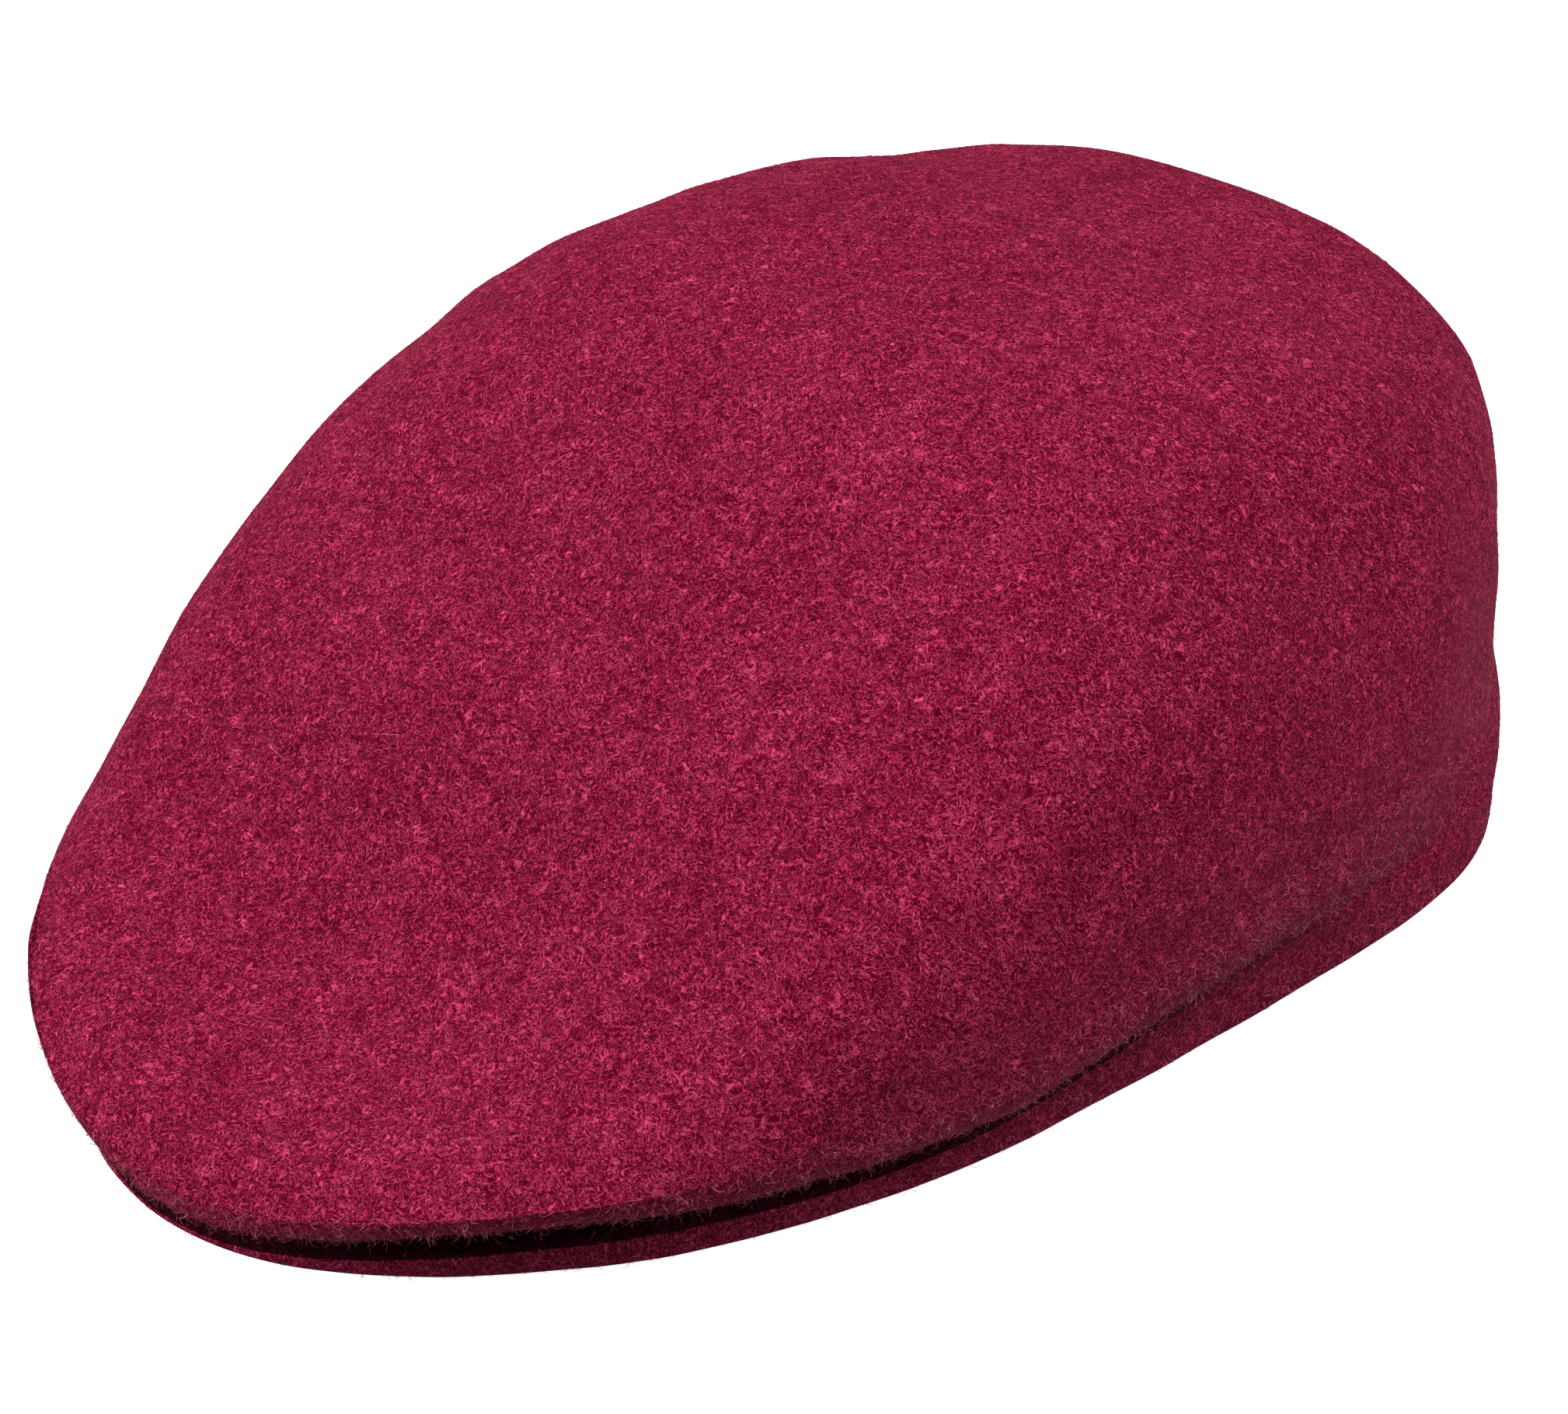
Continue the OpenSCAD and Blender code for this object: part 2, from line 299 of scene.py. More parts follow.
def grid_faces(rows, columns, around=True, closed_rows=False, start=0):
    """Quads over a grid of points, joined round its columns and, where closed_rows is set, round its rows."""
    i = np.arange(rows if closed_rows else rows - 1)[:, None]
    j = np.arange(columns if around else columns - 1)[None, :]
    k, m = (i + 1) % rows, (j + 1) % columns
    corners = [i * columns + j, i * columns + m, k * columns + m, k * columns + j]
    return start + np.stack(corners, -1).reshape(-1, 4)


def spline(knots, values, x):
    """A natural cubic spline through values at knots."""
    knots, values = np.asarray(knots, float), np.asarray(values, float)
    step, slope = np.diff(knots), np.diff(values) / np.diff(knots)
    size = len(knots)
    system, right = np.eye(size), np.zeros(size)
    for i in range(1, size - 1):
        system[i, i - 1:i + 2] = step[i - 1], 2 * (step[i - 1] + step[i]), step[i]
        right[i] = 6 * (slope[i] - slope[i - 1])
    bend = np.linalg.solve(system, right)
    i = np.clip(np.searchsorted(knots, x) - 1, 0, size - 2)
    h, d = step[i], x - knots[i]
    return (values[i] + d * (slope[i] - h * (2 * bend[i] + bend[i + 1]) / 6)
            + d**2 * bend[i] / 2 + d**3 * (bend[i + 1] - bend[i]) / (6 * h))


def around_cap(values, t):
    """values at even steps from the nape (t = 0) to the bill's tip (t = pi), the same on both sides."""
    last = len(values) - 1
    knots = np.arange(-3, last + 4)
    folded = last - np.abs(np.abs(knots) - last)
    place = np.arccos(np.clip(np.cos(t), -1, 1)) / math.pi * last
    return spline(knots, np.asarray(values, float)[folded], place)


def round_cap(values, t):
    """values at even steps all the way round from the nape by the wearer's left."""
    count = len(values)
    knots = np.arange(-3, count + 4)
    place = np.mod(t, 2 * math.pi) / (2 * math.pi) * count
    return spline(knots, np.asarray(values, float)[knots % count], place)


def smooth(low, high, x):
    """A soft step from 0 at low to 1 at high."""
    f = np.clip((x - low) / (high - low), 0, 1)
    return f * f * (3 - 2 * f)


def bent(controls, steps):
    """A Catmull-Rom curve through controls, an array of (points, ...), with steps points to each span."""
    c = np.concatenate([2 * controls[:1] - controls[1:2], controls, 2 * controls[-1:] - controls[-2:-1]])
    rows = []
    for i in range(1, len(c) - 2):
        for f in np.arange(steps) / steps:
            squared = 2 * c[i - 1] - 5 * c[i] + 4 * c[i + 1] - c[i + 2]
            cubed = 3 * c[i] - c[i - 1] - 3 * c[i + 1] + c[i + 2]
            rows.append(0.5 * (2 * c[i] + (c[i + 1] - c[i - 1]) * f + squared * f**2 + cubed * f**3))
    return np.array(rows + [c[-2]])


def ripple(points, size, seed, waves=14):
    """Smooth irregularity of about -1 to 1 over points, with features about size millimetres across."""
    rng = np.random.default_rng(seed)
    total = 0
    for _ in range(waves):
        way = rng.normal(size=3)
        way *= 2 * math.pi / (size * rng.uniform(0.7, 1.8)) / np.linalg.norm(way)
        total = total + np.sin(points @ way + rng.uniform(0, 2 * math.pi))
    return total / math.sqrt(waves)


def grid_normals(points):
    """Outward unit normals of a grid of points that is closed round its columns."""
    along = np.roll(points, -1, 1) - np.roll(points, 1, 1)
    up = np.gradient(points, axis=0)
    normal = np.cross(up, along)
    return normal / np.maximum(np.linalg.norm(normal, axis=-1, keepdims=True), 1e-9)


# ---------------------------------------------------------------- the cap's shape
# The angle t is 0 at the nape, a right angle at the wearer's left and pi at the bill's tip.

CENTRE_Y = -10.9
HALF_WIDTH, BACK_LENGTH, BILL_LENGTH = 104.8, 116.6, 161.6
BACK_POWER, BILL_POWER = 2.47, 2.08
PLAN = (0, 0.034, -0.008, -0.021, -0.015, -0.01, -0.002, 0.015,
        0.019, 0.02, 0.003, -0.014, -0.01, -0.009, 0, 0.03)
STRIP_INSET = (2, 2.8, -2.3, -0.8, 8.8, 11.2, 10.4, 7.8, 2.6)
LIP_TUCK = (2, 2.8, -2.3, 0, 10, 13, 12.3, 10, 4)
WIDEST_Z = (40, 38, 29, 26.5, 30.5, 24, 20, 17, 11)
SHOULDER = (4.2, 3.9, 3.8, 3.3, 2.9, 3.2, 2.7, 3, 3)
ROLL_DROP = (14, 12, 14, 8.5, 7)
PUFF = (0.5, -0.9, 0.2, 0.8, -0.7, 2.2, 5.6, 5.9, 6)
PUFF_REACH = 14
GROOVE_DEPTH = (1, 1, 1, 1.5, 2.6, 5, 7, 7, 5)
RIDGE_Y = (-165, -148, -128, -103, -73, -38, -3, 32, 67, 105)
RIDGE_Z = (13.3, 17.6, 27.4, 53, 74, 94.5, 102.7, 101.2, 98.8, 105.6)
CAMBER = 6.9
FELT_T = 3.0
GROOVE_OPEN = (2.3, 2.3, 2.3, 2.6, 3.4, 5.0, 5.4, 5.0, 2.0)
SPOKES = 360
STEPS = 3
RIM_CONTROLS, FOLD_CONTROLS = 7, 7
CROWN_ROWS = 100
# Bearings from the nape past which the fold's painted shade steps darker.
PAINTED_SHADE_BEARINGS = (86, 93, 101)


def plan(t, inset=0.0):
    """Plan points on the cap's widest line at the angles t, moved in towards the centre by inset."""
    s, c = np.sin(t), np.cos(t)
    power = np.where(c > 0, BACK_POWER, BILL_POWER)
    length = np.where(c > 0, BACK_LENGTH, BILL_LENGTH)
    k = 1 + round_cap(PLAN, t)
    x = np.sign(s) * HALF_WIDTH * np.abs(s) ** (2 / power) * k
    y = np.sign(c) * length * np.abs(c) ** (2 / power) * k
    shrink = 1 - inset / np.hypot(x, y)
    return x * shrink, CENTRE_Y + y * shrink


def spoke_points(t, inset, z):
    """Points at the angles t, moved in from the widest line by inset, at the heights z."""
    x, y = plan(t, inset)
    return np.stack([x, y, np.broadcast_to(z, x.shape)], -1)


def ridge(y):
    """The crown's height along its middle line."""
    return spline(RIDGE_Y, RIDGE_Z, np.clip(y, RIDGE_Y[0] - 13, RIDGE_Y[-1] + 12))


def crown(t, rings):
    """The crown's points from the widest line to near the apex; the shoulder power sets how square it is."""
    x, y = plan(t)
    power = around_cap(SHOULDER, t)
    z_low = around_cap(WIDEST_Z, t)
    a = RIGHT_ANGLE * (1 - np.linspace(0, 1, rings + 1)[:-1])[:, None]
    k = (np.sin(a) ** power + np.cos(a) ** power) ** (-1 / power)
    across, height = k * np.sin(a), k * np.cos(a)
    px, py = across * x, CENTRE_Y + across * (y - CENTRE_Y)
    top = ridge(py) - CAMBER * (px / HALF_WIDTH) ** 2
    edge = (1 - across) * np.hypot(x, y - CENTRE_Y) / PUFF_REACH
    puff = around_cap(PUFF, t) * edge * np.exp(1 - edge)
    return np.stack([px, py, z_low + (top - z_low) * height + puff], -1)


turn = np.linspace(0, 2 * math.pi, SPOKES, endpoint=False)
inset = around_cap(STRIP_INSET, turn)
drop = around_cap(ROLL_DROP, turn)
widest_z = around_cap(WIDEST_Z, turn)
from_nape = np.arccos(np.cos(turn))
groove = smooth(math.radians(58), math.radians(88), from_nape)
depth = around_cap(GROOVE_DEPTH, turn)
lip_z = widest_z - drop
opening = around_cap(GROOVE_OPEN, turn)
strip_z = lip_z - opening
tuck = around_cap(LIP_TUCK, turn)
depth = np.minimum(depth, 1.6 + 3 * np.maximum(strip_z - 3.3, 0))


def felt_controls():
    """Control points, as (inset, height), of the felt's outside from the rim up to the widest line."""
    folded = [
        (inset + 0.3, strip_z - 0.5), (inset + 1.2, strip_z + 0.05), (inset + 0.5 * depth, strip_z + 0.3),
        (inset + depth - 0.4, strip_z + 0.55), (inset + depth, (strip_z + lip_z) / 2),
        (inset + depth - 0.2, lip_z - 0.35), ((inset + depth + tuck) / 2 + 0.3, lip_z - 0.15),
    ]
    plain = [(inset, strip_z + (f - 0.3) * opening) for f in np.linspace(0, 1.2, FOLD_CONTROLS)]
    mixed = [tuple(groove * a + (1 - groove) * b for a, b in zip(*pair)) for pair in zip(folded, plain)]
    rim = [(inset + 3.0, 1.2), (inset + 2.5, 0.3), (inset + 1.6, 0.0), (inset + 0.6, 0.2), (inset, 1.1),
           (inset - 0.05, 1.1 + 0.3 * (strip_z - 2)), (inset, 1.1 + 0.65 * (strip_z - 2))]
    roll = []
    for a in np.radians((90, 75, 60, 45, 30, 15, 0)):
        soft = smooth(-0.2, 1.0, 1 - a / RIGHT_ANGLE)
        reach = groove * (1 - math.cos(a)) + (1 - groove) * (1 - soft)
        rise = groove * math.sin(a) + (1 - groove) * a / RIGHT_ANGLE * 0.8
        roll.append((tuck * reach, widest_z - drop * rise))
    return np.array([[np.broadcast_to(v, turn.shape) for v in pair] for pair in rim + mixed + roll])


def roughened(surface):
    """The felt's outside with its slight waves, which fade towards the rim."""
    lift = smooth(6, 20, surface[..., 2])[..., None]
    swell = 0.35 + 0.45 * ripple(surface, 42, 3) + 0.16 * ripple(surface, 13, 4)
    surface = surface + grid_normals(surface) * swell[..., None] * (0.35 + 0.65 * lift)
    surface[..., 2] = np.maximum(surface[..., 2], 0)
    return surface


def felt_inside():
    """The felt's inside, from the rim's inner corner up to near the apex, kept behind the groove's floor."""
    wall = (1 - groove) * FELT_T + groove * (inset + depth + 1.2)
    low = [(inset + 3.1, 2.0), (inset + 3.1, 2.7), (np.maximum(wall, inset + 3.1), 3.2)]
    high = crown_points[2::3] - FELT_T * grid_normals(crown_points)[2::3]
    radius = np.hypot(high[..., 0], high[..., 1] - CENTRE_Y)
    limit_x, limit_y = plan(turn, wall)
    limit = np.hypot(limit_x, limit_y - CENTRE_Y)
    share = (np.minimum(radius, limit) / radius)[..., None]
    high[..., :2] = (high[..., :2] - (0, CENTRE_Y)) * share + (0, CENTRE_Y)
    return np.concatenate([[spoke_points(turn, a, z) for a, z in low], high])


def felt_mesh(outside, inside):
    """Points and triangles of the whole shell: down the outside, up the inside, and a fan at each apex."""
    shell = np.concatenate([outside[::-1], inside])
    size = len(shell) * SPOKES
    apex = [[0, CENTRE_Y, outside[-1, :, 2].mean()], [0, CENTRE_Y, inside[-1, :, 2].mean()]]
    points = np.concatenate([shell.reshape(-1, 3), apex])
    faces = grid_faces(len(shell), SPOKES)
    ring = np.arange(SPOKES)
    after = np.roll(ring, -1)
    last = size - SPOKES
    outer_fan = np.stack([ring, np.full(SPOKES, size), after], -1)
    inner_fan = np.stack([after + last, np.full(SPOKES, size + 1), ring + last], -1)
    return points, np.concatenate([faces[:, [0, 1, 2]], faces[:, [0, 2, 3]], outer_fan, inner_fan])


def painted_shade_materials(triangles, outside):
    """A material number for each triangle: 1 to 3 for the painted shade in the fold, darker towards the bill,
    and 0 elsewhere.
    """
    first = STEPS * (RIM_CONTROLS - 1) + 2
    last = STEPS * (RIM_CONTROLS + FOLD_CONTROLS - 1) - 1
    row = len(outside) - 1 - triangles // SPOKES
    deep = ((row >= first) & (row <= last) & (triangles < len(outside) * SPOKES)).all(1)
    bearing = np.degrees(from_nape)[triangles[:, 0] % SPOKES]
    return (deep * (bearing[:, None] > PAINTED_SHADE_BEARINGS).sum(1)).astype(np.int32)


lower = bent(felt_controls(), STEPS)
lower_points = np.array([spoke_points(turn, row[0], row[1]) for row in lower])
crown_points = crown(turn, CROWN_ROWS)
outside = roughened(np.concatenate([lower_points[:-1], crown_points]))
points, triangles = felt_mesh(outside, felt_inside())
felt = piece("felt_shell", points, triangles, FELT, replaces=["felt_body"])
# The fold's faces get the darker felts: painted shade where the roll overhangs the strip.
for material in PAINTED_SHADE_FELTS:
    felt.data.materials.append(material)
felt.data.polygons.foreach_set("material_index", painted_shade_materials(triangles, outside))

# ---------------------------------------------------------------- loose fibres on the felt

RIM_ROWS = 12
GROOVE_ROWS = (18, 36)


def scatter(count, weight, rng):
    """Random places on the felt's outside with their normals, more of them where weight is high."""
    nrm = grid_normals(outside)
    a, b = outside[:-1], np.roll(outside, -1, 1)[:-1]
    c = outside[1:]
    area = np.linalg.norm(np.cross(b - a, c - a), axis=-1) * weight[:-1]
    chance = np.cumsum(area.ravel())
    pick = np.searchsorted(chance, rng.random(count) * chance[-1])
    i, j = np.unravel_index(np.minimum(pick, area.size - 1), area.shape)
    f, g = rng.random((2, count, 1))
    m = (j + 1) % SPOKES
    below = outside[i, j] * (1 - f) + outside[i, m] * f
    above = outside[i + 1, j] * (1 - f) + outside[i + 1, m] * f
    return below * (1 - g) + above * g, nrm[i, j]


def fibres(name, root, normal, lengths, rise, curl, width, material, rng, segments=5):
    """Flat curly fibres: lengths and width are ranges in millimetres, rise is how steeply they leave."""
    count = len(root)
    side = np.cross(normal, rng.normal(size=(count, 3)))
    side /= np.linalg.norm(side, axis=1, keepdims=True)
    way = side + normal * rng.uniform(*rise, (count, 1))
    way /= np.linalg.norm(way, axis=1, keepdims=True)
    length = rng.uniform(*lengths, (count, 1))
    bend = rng.normal(0, curl, (count, 1))
    dip = rng.uniform(0.1, 0.5, (count, 1))
    half = rng.uniform(*width, (count, 1)) / 2
    tilt = rng.uniform(-1.0, 1.0, (count, 1))
    place = root - normal * 0.05
    stations = []
    for k in range(segments + 1):
        across = np.cross(way, normal) + normal * tilt
        across /= np.maximum(np.linalg.norm(across, axis=1, keepdims=True), 1e-6)
        taper = 1 - 0.5 * (k / segments) ** 2
        reach = across * half * taper
        stations += [place] if k == segments else [place - reach, place + reach]
        way = way + np.cross(normal, way) * bend / segments - normal * dip / segments * 1.5
        way += 0.12 * rng.normal(size=(count, 3))
        way /= np.linalg.norm(way, axis=1, keepdims=True)
        height = ((place - root) * normal).sum(1, keepdims=True)
        place = place + way * length / segments
        place = place + normal * np.maximum(0.03 - height, 0) * 0.5
    points = np.stack(stations, 1)
    each = points.shape[1]
    strip = [(2 * k, 2 * k + 1, 2 * k + 2) for k in range(segments)]
    strip += [(2 * k + 1, 2 * k + 3, 2 * k + 2) for k in range(segments - 1)]
    faces = (np.arange(count)[:, None, None] * each + np.array(strip)[None]).reshape(-1, 3)
    points = points.reshape(-1, 3)
    points[:, 2] = np.maximum(points[:, 2], 0.02)
    return piece(name, points, faces, material)


level = np.arange(len(outside))[:, None]
low_rows = len(lower_points) - 1


def nap_pieces():
    """Two layers of short fibres over all the felt, thin on the rim and thinner in the groove."""
    everywhere = np.ones(outside.shape[:2])
    everywhere[:RIM_ROWS] = 0.3
    in_groove = (level > GROOVE_ROWS[0]) & (level < GROOVE_ROWS[1]) & (groove > 0.5)[None, :]
    everywhere[np.broadcast_to(in_groove, everywhere.shape)] = 0.15
    layers = [(21000, (1.2, 2.6), (0.05, 0.45), 3.2, (0.07, 0.12)),
              (21000, (1.0, 2.2), (0.1, 0.8), 3.6, (0.05, 0.10))]
    for number, (count, lengths, rise, curl, width) in enumerate(layers):
        rng = np.random.default_rng(20 + number)
        root, normal = scatter(count, everywhere, rng)
        fibres(f"felt_nap_{number + 1}", root, normal, lengths, rise, curl, width, FUZZ, rng)


def lint_piece():
    """A few long stray fibres on the crown."""
    rng = np.random.default_rng(47)
    root, normal = scatter(16, level > low_rows, rng)
    fibres("stray_lint", root, normal, (4.0, 7.0), (0.25, 0.7), 4.5, (0.07, 0.11), LINT, rng, segments=12)


def lip_nap_piece():
    """Pale fibres along the lip over the groove and, more thinly, along the rim."""
    rng = np.random.default_rng(31)
    lip = np.zeros(outside.shape[:2])
    lip[low_rows - 16:low_rows + 6] = 1
    lip[6:20] = 0.5
    root, normal = scatter(9000, lip * (0.2 + groove), rng)
    fibres("lip_nap", root, normal, (1.2, 3.0), (0.3, 1.6), 3.5, (0.05, 0.10), LINT, rng)


nap_pieces()
lint_piece()
lip_nap_piece()

# ---------------------------------------------------------------- shared by everything inside the felt
# These follow the head opening. The angle f is a plan bearing about the opening's widest line, 0 at the nape.

HEAD = np.array([0.0, -10.0])
HEAD_HALF_WIDTH, HEAD_BACK, HEAD_POWER = 89, 109, 3.2
FELT_GAP = 0.4
RIBBON_T, RIBBON_LOW, RIBBON_HIGH = 0.8, 1.5, 29.5
LABEL_T = 0.4
FULL_TURN = 2 * math.pi
STATIONS = 7
STITCH_BOW = np.sin(np.linspace(0, math.pi, STATIONS))[None]


def bearing_radius(inward):
    """The radius, as a function of bearing, of the felt's outside moved in by inward, one value a spoke."""
    x, y = plan(turn, inward)
    f, r = np.arctan2(x - HEAD[0], y - HEAD[1]) % FULL_TURN, np.hypot(x - HEAD[0], y - HEAD[1])
    order = np.argsort(f)
    f, r = f[order], r[order]
    f, r = np.concatenate([f[-3:] - FULL_TURN, f, f[:3] + FULL_TURN]), np.concatenate([r[-3:], r, r[:3]])
    return lambda b: np.interp(np.mod(b, FULL_TURN), f, r)


def moved(radius, step):
    """The radius function moved out by step."""
    return lambda f: radius(f) + step


def head_radius(f):
    """The head opening's radius at the bearing f: a superellipse at the back and a circle in front."""
    s, c = np.abs(np.sin(f)), np.abs(np.cos(f))
    back = ((s / HEAD_HALF_WIDTH) ** HEAD_POWER + (c / HEAD_BACK) ** HEAD_POWER) ** (-1 / HEAD_POWER)
    front = ((s / HEAD_HALF_WIDTH) ** 2 + (c / HEAD_HALF_WIDTH) ** 2) ** -0.5
    return np.where(np.cos(f) > 0, back, front)


strip_inside = bearing_radius(np.maximum(inset, 0.6) + FELT_T + 0.1)
bill_inside = bearing_radius(inset + np.maximum(FELT_T, depth + 1.2) + 0.6)


def ribbon_radius(f):
    """The outside of the sweatband: against the felt behind the sides, and round the forehead in front."""
    at_back = 1 - smooth(math.radians(62), math.radians(82), np.arccos(np.clip(np.cos(f), -1, 1)))
    return at_back * (strip_inside(f) - FELT_GAP) + (1 - at_back) * (head_radius(f) + RIBBON_T)


def inner_face(f):
    """The radius of the sweatband's inner face, without its ribs."""
    return ribbon_radius(f) - RIBBON_T


def label_face(f):
    """The radius of the face of a label that lies on the sweatband."""
    return inner_face(f) - 0.12 - LABEL_T - 0.12


def at(f, radius, z):
    """Points at the bearings f, the radius and the height z."""
    f, radius, z = np.broadcast_arrays(f, radius, z)
    return np.stack([HEAD[0] + radius * np.sin(f), HEAD[1] + radius * np.cos(f), z], -1)


def slab(name, front, back, material, replaces=(), body="cap"):
    """A thin closed piece between two grids of points, front and back, joined round their edges."""
    rows, columns = front.shape[:2]
    size = rows * columns
    front_faces = grid_faces(rows, columns, around=False)
    back_faces = grid_faces(rows, columns, around=False, start=size)[:, ::-1]
    index = np.arange(size).reshape(rows, columns)
    rim_path = np.concatenate([index[0, :-1], index[:-1, -1], index[-1, :0:-1], index[:0:-1, 0]])
    after = np.roll(rim_path, -1)
    rim_faces = np.stack([after, rim_path, rim_path + size, after + size], -1)
    faces = np.concatenate([front_faces, back_faces, rim_faces])
    points = np.concatenate([front.reshape(-1, 3), back.reshape(-1, 3)])
    return piece(name, points, faces, material, body, replaces)


def edge_spacing(low, high, count, edge=0.15):
    """Even steps from low to high with one extra, closer step at each end, which rounds a slab's edge."""
    return np.concatenate([[low], np.linspace(low + edge, high - edge, count), [high]])


def thinned(rows, columns, thickness, edge=0.35):
    """Thickness over a grid, down to a share of it along the four edges."""
    t = np.full((rows, columns), float(thickness))
    t[0], t[-1], t[:, 0], t[:, -1] = (edge * thickness,) * 4
    return t


def tubes(name, paths, normals, radius, material, replaces=(), sides=7):
    """Round closed tubes along paths, an array of (tubes, stations, 3), that taper to their ends."""
    count, stations = paths.shape[:2]
    way = np.gradient(paths, axis=1)
    way /= np.linalg.norm(way, axis=-1, keepdims=True)
    across = np.cross(way, normals)
    across /= np.linalg.norm(across, axis=-1, keepdims=True)
    high = np.cross(across, way)
    share = 2 * np.linspace(0.02, 0.98, stations) - 1
    taper = np.sqrt(np.clip(1 - share**6, 0, 1))[None, :, None, None] * radius
    a = np.linspace(0, 2 * math.pi, sides, endpoint=False)[None, None, :, None]
    rings = paths[:, :, None] + taper * (np.cos(a) * across[:, :, None] + np.sin(a) * high[:, :, None])
    points = np.concatenate([rings.reshape(count, -1, 3), paths[:, :1], paths[:, -1:]], 1)
    each = points.shape[1]
    quads = grid_faces(stations, sides)
    body = np.concatenate([quads[:, [0, 1, 2]], quads[:, [0, 2, 3]]])
    k = np.arange(sides)
    m, last = (k + 1) % sides, (stations - 1) * sides
    start_cap = np.stack([k, np.full(sides, each - 2), m], -1)
    end_cap = np.stack([m + last, np.full(sides, each - 1), k + last], -1)
    one = np.concatenate([body, start_cap, end_cap])
    faces = (np.arange(count)[:, None, None] * each + one[None]).reshape(-1, 3)
    return piece(name, points.reshape(-1, 3), faces, material, "cap", replaces)


def stitch_bearings(bearings, radius, z, starts, length, samples=2000):
    """The bearing of each station of each stitch; starts turns the run's length into the stitches' starts."""
    f = np.linspace(*bearings, samples)
    place = at(f, radius(f), z)
    run = np.concatenate([[0], np.cumsum(np.linalg.norm(np.diff(place, axis=0), axis=1))])
    along = starts(run[-1])[:, None] + np.linspace(0, length, STATIONS)[None]
    return np.interp(along, run, f)


def stitch_rows(bearings, radius, z, length, pitch, rise=0.25):
    """Stitches along a ring at a radius and a height, bowed out of the cloth by rise."""
    g = stitch_bearings(bearings, radius, z, lambda end: np.arange(pitch / 2, end - length, pitch), length)
    return at(g, radius(g) - rise * STITCH_BOW, z), -at(g, 1.0, 0.0) + np.array([*HEAD, 0])


# ---------------------------------------------------------------- sweatband

RIBS, COLUMNS_PER_RIB = 440, 4
FACE_Z = (RIBBON_LOW, 1.7, 2.3, 3.5, 6, 11, 16, 21, 25, 27.8, 28.9, 29.3, RIBBON_HIGH)
BACK_Z = (29.4, 22, 12, 1.6)


def sweatband_rows():
    """Rows of points: up the ribbed inner face, which has a bead near each edge, and down the plain back."""
    f = np.linspace(0, FULL_TURN, COLUMNS_PER_RIB * RIBS, endpoint=False)
    rib = 0.07 * np.cos(RIBS * f)
    wave = 0.35 * np.sin(5 * f + 0.4) + 0.2 * np.sin(11 * f + 2)
    edges, beads = (0, len(FACE_Z) - 1), (1, len(FACE_Z) - 2)
    heights = [z + 0.15 * wave * (z - RIBBON_LOW) / (RIBBON_HIGH - RIBBON_LOW) for z in FACE_Z + BACK_Z]
    rows = []
    for k in range(len(FACE_Z)):
        thickness = RIBBON_T * (0.55 if k in edges else 1)
        radius = ribbon_radius(f) - thickness - rib * (0 if k in edges else 1) - (0.14 if k in beads else 0)
        rows.append(at(f, radius, heights[k]))
    rows += [at(f, ribbon_radius(f), z) for z in heights[len(FACE_Z):]]
    return np.array(rows)


loop = sweatband_rows()
band_faces = grid_faces(*loop.shape[:2], closed_rows=True)
sweatband = piece("grosgrain_sweatband", loop.reshape(-1, 3), band_faces, RIBBON,
                  replaces=["sweatband"])
paths, facing_in = stitch_rows((0, FULL_TURN), moved(inner_face, -0.05), 3.5, 2.7, 3.5)
tubes("sweatband_stitches", paths, facing_in, 0.28, THREAD, ["sweatband_thread"])

# ---------------------------------------------------------------- bill layers

WING = math.radians(109)
WINGS = (WING, FULL_TURN - WING)
INNER_WINGS = (WING + 0.12, FULL_TURN - WING - 0.12)


def bill_sheet(name, low, high, inner, outer, bearings, material, replaces, pucker=0.0):
    """A flat layer of the bill between two radii and two bearings, with rounded edges."""
    f = np.linspace(*bearings, 241)
    k = edge_spacing(0, 1, 26, 0.02)
    width = (outer(f) - inner(f))[None]
    radius = inner(f)[None] + width * k[:, None]
    to_edge = np.minimum(k, 1 - k)[:, None] * width
    to_end = np.minimum(f - f[0], f[-1] - f)[None] * radius
    edge = np.clip(np.minimum(to_edge, to_end), 0, 1.0)
    round_off = (1 - np.sqrt(np.clip(1 - (1 - edge) ** 2, 0, 1))) * (high - low) * 0.42
    seam = np.exp(-(((outer(f)[None] - radius) - 4) / 1.2) ** 2)
    base = at(f[None], radius, 0.0)
    relief = pucker * (seam * 1.5 + 0.35 * ripple(base, 16, 9))
    front = at(f[None], radius, low + round_off + np.maximum(relief, -0.1))
    back = at(f[None], radius, high - round_off)
    return slab(name, front, back, material, replaces)


def underlay_in(f):
    """The underlay's inner edge, just in front of the sweatband."""
    return head_radius(f) + RIBBON_T + FELT_GAP


def underlay_out(f):
    """The underlay's outer edge, just inside the felt's rim."""
    return strip_inside(f) - 0.3


def bill_edge_stitches():
    """One row of stitches on the underside, 4 mm in from the underlay's outer edge."""
    edge_line = moved(underlay_out, -4)
    starts = lambda end: np.arange(1, end - 3.2, 4.0)
    g = stitch_bearings(INNER_WINGS, edge_line, 0.5, starts, 3.0, samples=3000)
    paths = at(g, edge_line(g), 0.62 - 0.2 * STITCH_BOW)
    facing_down = np.broadcast_to([0.0, 0.0, -1.0], paths.shape)
    tubes("bill_edge_stitches", paths, facing_down, 0.27, THREAD, ["bill_edge_thread"])


underlay = bill_sheet("bill_underlay_felt", 0.35, 2.6, underlay_in, underlay_out, WINGS, BILL_FELT,
                      ["bill_underlay"], 0.2)
bill_sheet("bill_board", 3.2, 4.6, moved(underlay_in, 1.2), bill_inside, INNER_WINGS, BOARD,
           ["bill_stiffener"])
bill_edge_stitches()

# ---------------------------------------------------------------- labels and their stitches


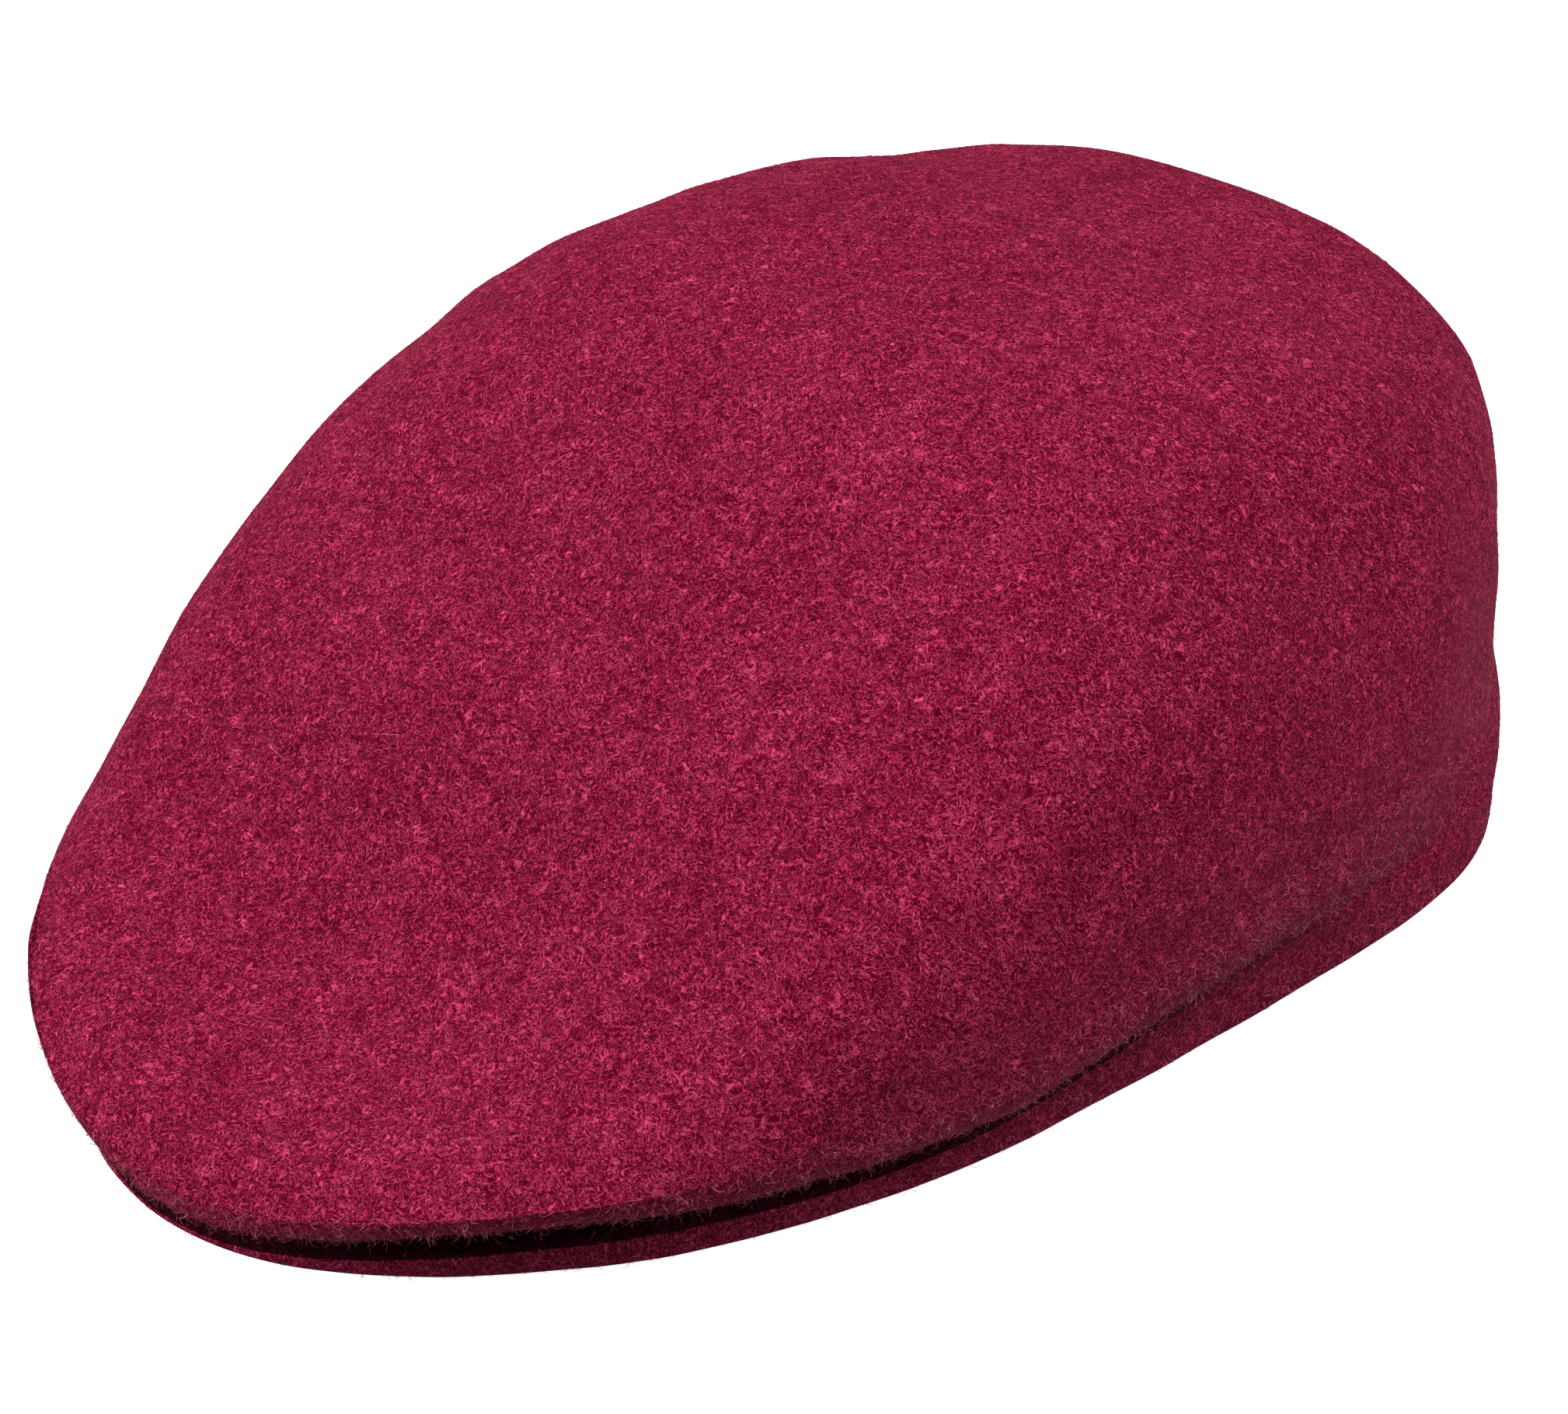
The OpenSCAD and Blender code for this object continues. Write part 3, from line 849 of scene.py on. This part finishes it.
def ribbon_label(name, bearings, low, high, replaces, columns=40, rows=18, fold=0.0):
    """A label on the ribbon's face; fold thickens its two side edges, where the tape is turned under."""
    f = edge_spacing(*bearings, columns, 0.0016)[None]
    z = edge_spacing(low, high, rows)[:, None]
    turned = fold * (1 - smooth(0.010, 0.020, np.minimum(f - bearings[0], bearings[1] - f)))
    t = thinned(rows + 2, columns + 2, LABEL_T)
    across = np.sin(math.pi * (f - bearings[0]) / (bearings[1] - bearings[0]))
    lift = 0.1 + 0.25 * across * np.sin(math.pi * (z - low) / (high - low))
    base = inner_face(f) - 0.12 - lift * 0.6
    front = at(f, base - t / 2 - LABEL_T / 2 - turned, z)
    back = at(f, base - LABEL_T / 2 + t / 2, z)
    return slab(name, front[:, ::-1], back[:, ::-1], LABEL, replaces)


def woven_label_stitches():
    """Two rows of stitches, near the woven label's lower and upper edges."""
    rows = [stitch_rows((-0.187, 0.187), moved(label_face, -0.14), z, 1.9, 2.6, 0.2) for z in (8.1, 22.9)]
    paths, facing_in = (np.concatenate(both) for both in zip(*rows))
    tubes("woven_label_stitches", paths, facing_in, 0.17, THREAD, ["woven_label_thread"])


woven = ribbon_label("blank_woven_label", (-0.196, 0.196), 7, 24, ["woven_label"], fold=0.25)
woven_label_stitches()
tab = ribbon_label("blank_size_tab", (0.243, 0.350), 8, 20, ["size_tab"], columns=14, rows=14)
HEM = (RIGHT_ANGLE - 0.157, RIGHT_ANGLE + 0.157)
ribbon_label("care_label_sewn_hem", HEM, 26.55, 29.45, ["care_label_hem"], columns=30, rows=5)
HEM_ROW = (RIGHT_ANGLE - 0.15, RIGHT_ANGLE + 0.15)
paths, facing_in = stitch_rows(HEM_ROW, moved(label_face, -0.04), 28.0, 2.0, 2.8, 0.2)
tubes("care_label_stitches", paths, facing_in, 0.17, THREAD, ["care_label_thread"])

# ---------------------------------------------------------------- care label flap

FLAP_X = 87.5
FLAP_Y = (-24, 4)
FLAP_Z = (5.4, 26.15)
FLAP_DROP = 21.0


def flap_tape():
    """A satin tape that hangs from its fold, slightly bowed, with a turned lower edge."""
    y = edge_spacing(*FLAP_Y, 34)[None]
    z = edge_spacing(*FLAP_Z, 26)[:, None]
    up = (z - FLAP_Z[0]) / FLAP_DROP
    across = math.pi * (y - FLAP_Y[0]) / (FLAP_Y[1] - FLAP_Y[0])
    bow = 0.28 * np.sin(math.pi * up) * np.sin(across) + 0.18 * (1 - up) * np.cos(2 * across)
    t = thinned(28, 36, LABEL_T) + 0.2 * (1 - smooth(1.6, 2.2, z - FLAP_Z[0]))
    middle = FLAP_X - bow * 0.9
    front = np.stack(np.broadcast_arrays(middle - t / 2, y, z), -1)
    back = np.stack(np.broadcast_arrays(middle + t / 2, y, z), -1)
    return slab("care_label_flap_tape", front[:, ::-1], back[:, ::-1], LABEL, ["care_label_flap"],
                body="care_label")


flap = flap_tape()

# ---------------------------------------------------------------- floor

floor_mesh = bpy.data.meshes.new("floor")
floor_mesh.from_pydata([(-4, -4, 0), (4, -4, 0), (4, 4, 0), (-4, 4, 0)], [], [(0, 1, 2, 3)])
floor_mesh.materials.append(floor_material("studio_floor"))
floor = bpy.data.objects.new("floor", floor_mesh)
scene.collection.objects.link(floor)
floor.visible_diffuse = False
